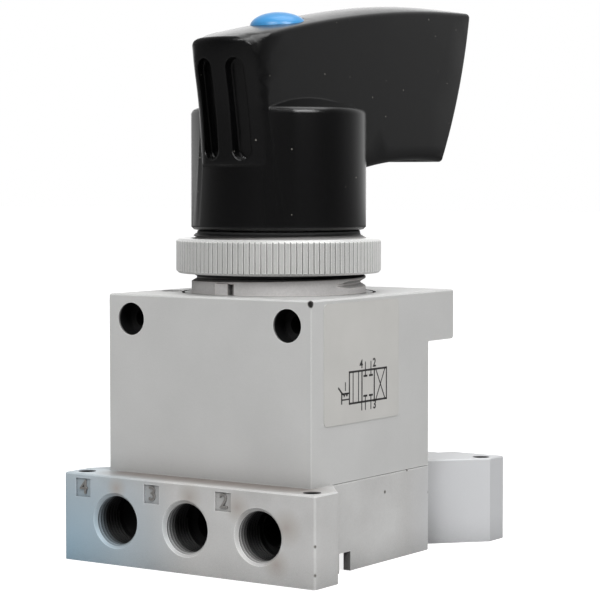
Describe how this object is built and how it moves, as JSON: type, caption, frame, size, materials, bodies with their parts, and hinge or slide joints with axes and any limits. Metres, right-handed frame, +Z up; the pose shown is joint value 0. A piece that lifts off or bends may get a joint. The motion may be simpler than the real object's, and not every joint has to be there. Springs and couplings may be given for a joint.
{
  "type": "hand lever air valve",
  "caption": "Hand lever rotary slide air valve on a ported sub-base, with a knurled nut for panel mounting and a black winged lever.",
  "frame": {"origin": "on the spindle's axis, at the sub-base's bottom face", "axes": "+Z up along the spindle; the three ported front face looks along -Y; +X to the right seen from the front; the lever's long end points along +Y at rest"},
  "size_m": [0.093, 0.1465, 0.1749],
  "materials": {
    "cast_base": "blasted and clear anodised casting",
    "housing": "fine blasted and clear anodised",
    "neck": "as cast, thread cut",
    "nut": "nickel plated, straight knurl",
    "lever_plastic": "black moulded polyamide, satin",
    "cap_blue": "blue moulded cap",
    "label_film": "white printed film",
    "spindle_steel": "turned stainless steel",
    "fastener_steel": "zinc plated steel",
    "slide_plastic": "lapped acetal",
    "seat_steel": "lapped steel",
    "bearing_bronze": "sintered bronze",
    "seal_rubber": "nitrile rubber",
    "spring_steel": "oil-tempered spring wire"
  },
  "bodies": {
    "valve_body": {"sub_base": "cast_base", "housing_block": "housing", "housing_seal": "seal_rubber", "base_screws": "fastener_steel", "port_seals": "seal_rubber", "seat_plate": "seat_steel", "seat_pins": "fastener_steel", "thrust_washer": "bearing_bronze", "stop_pin": "fastener_steel", "threaded_neck": "neck", "neck_screws": "fastener_steel", "neck_seal": "seal_rubber", "spindle_bush": "bearing_bronze", "detent_spring": "spring_steel", "detent_cover": "seat_steel", "cover_screws": "fastener_steel", "dust_ring": "seal_rubber", "label": "label_film"},
    "lever": {"handle": "lever_plastic", "handle_cap": "cap_blue", "handle_screw": "fastener_steel", "handle_washer": "fastener_steel", "spindle": "spindle_steel", "spindle_seals": "seal_rubber", "slide_disc": "slide_plastic", "slide_spring": "spring_steel"},
    "nut": {"panel_nut": "nut"}
  },
  "joints": [
    {"name": "lever_turn", "type": "hinge", "parent": "valve_body", "child": "lever", "pos_m": [0, 0, 0.1], "axis": [0, 0, 1], "range_deg": [-45, 45], "deforming": ["detent_spring"]},
    {"name": "nut_turn", "type": "hinge", "parent": "valve_body", "child": "nut", "pos_m": [0, 0, 0.093], "axis": [0, 0, 1], "continuous": true}
  ]
}
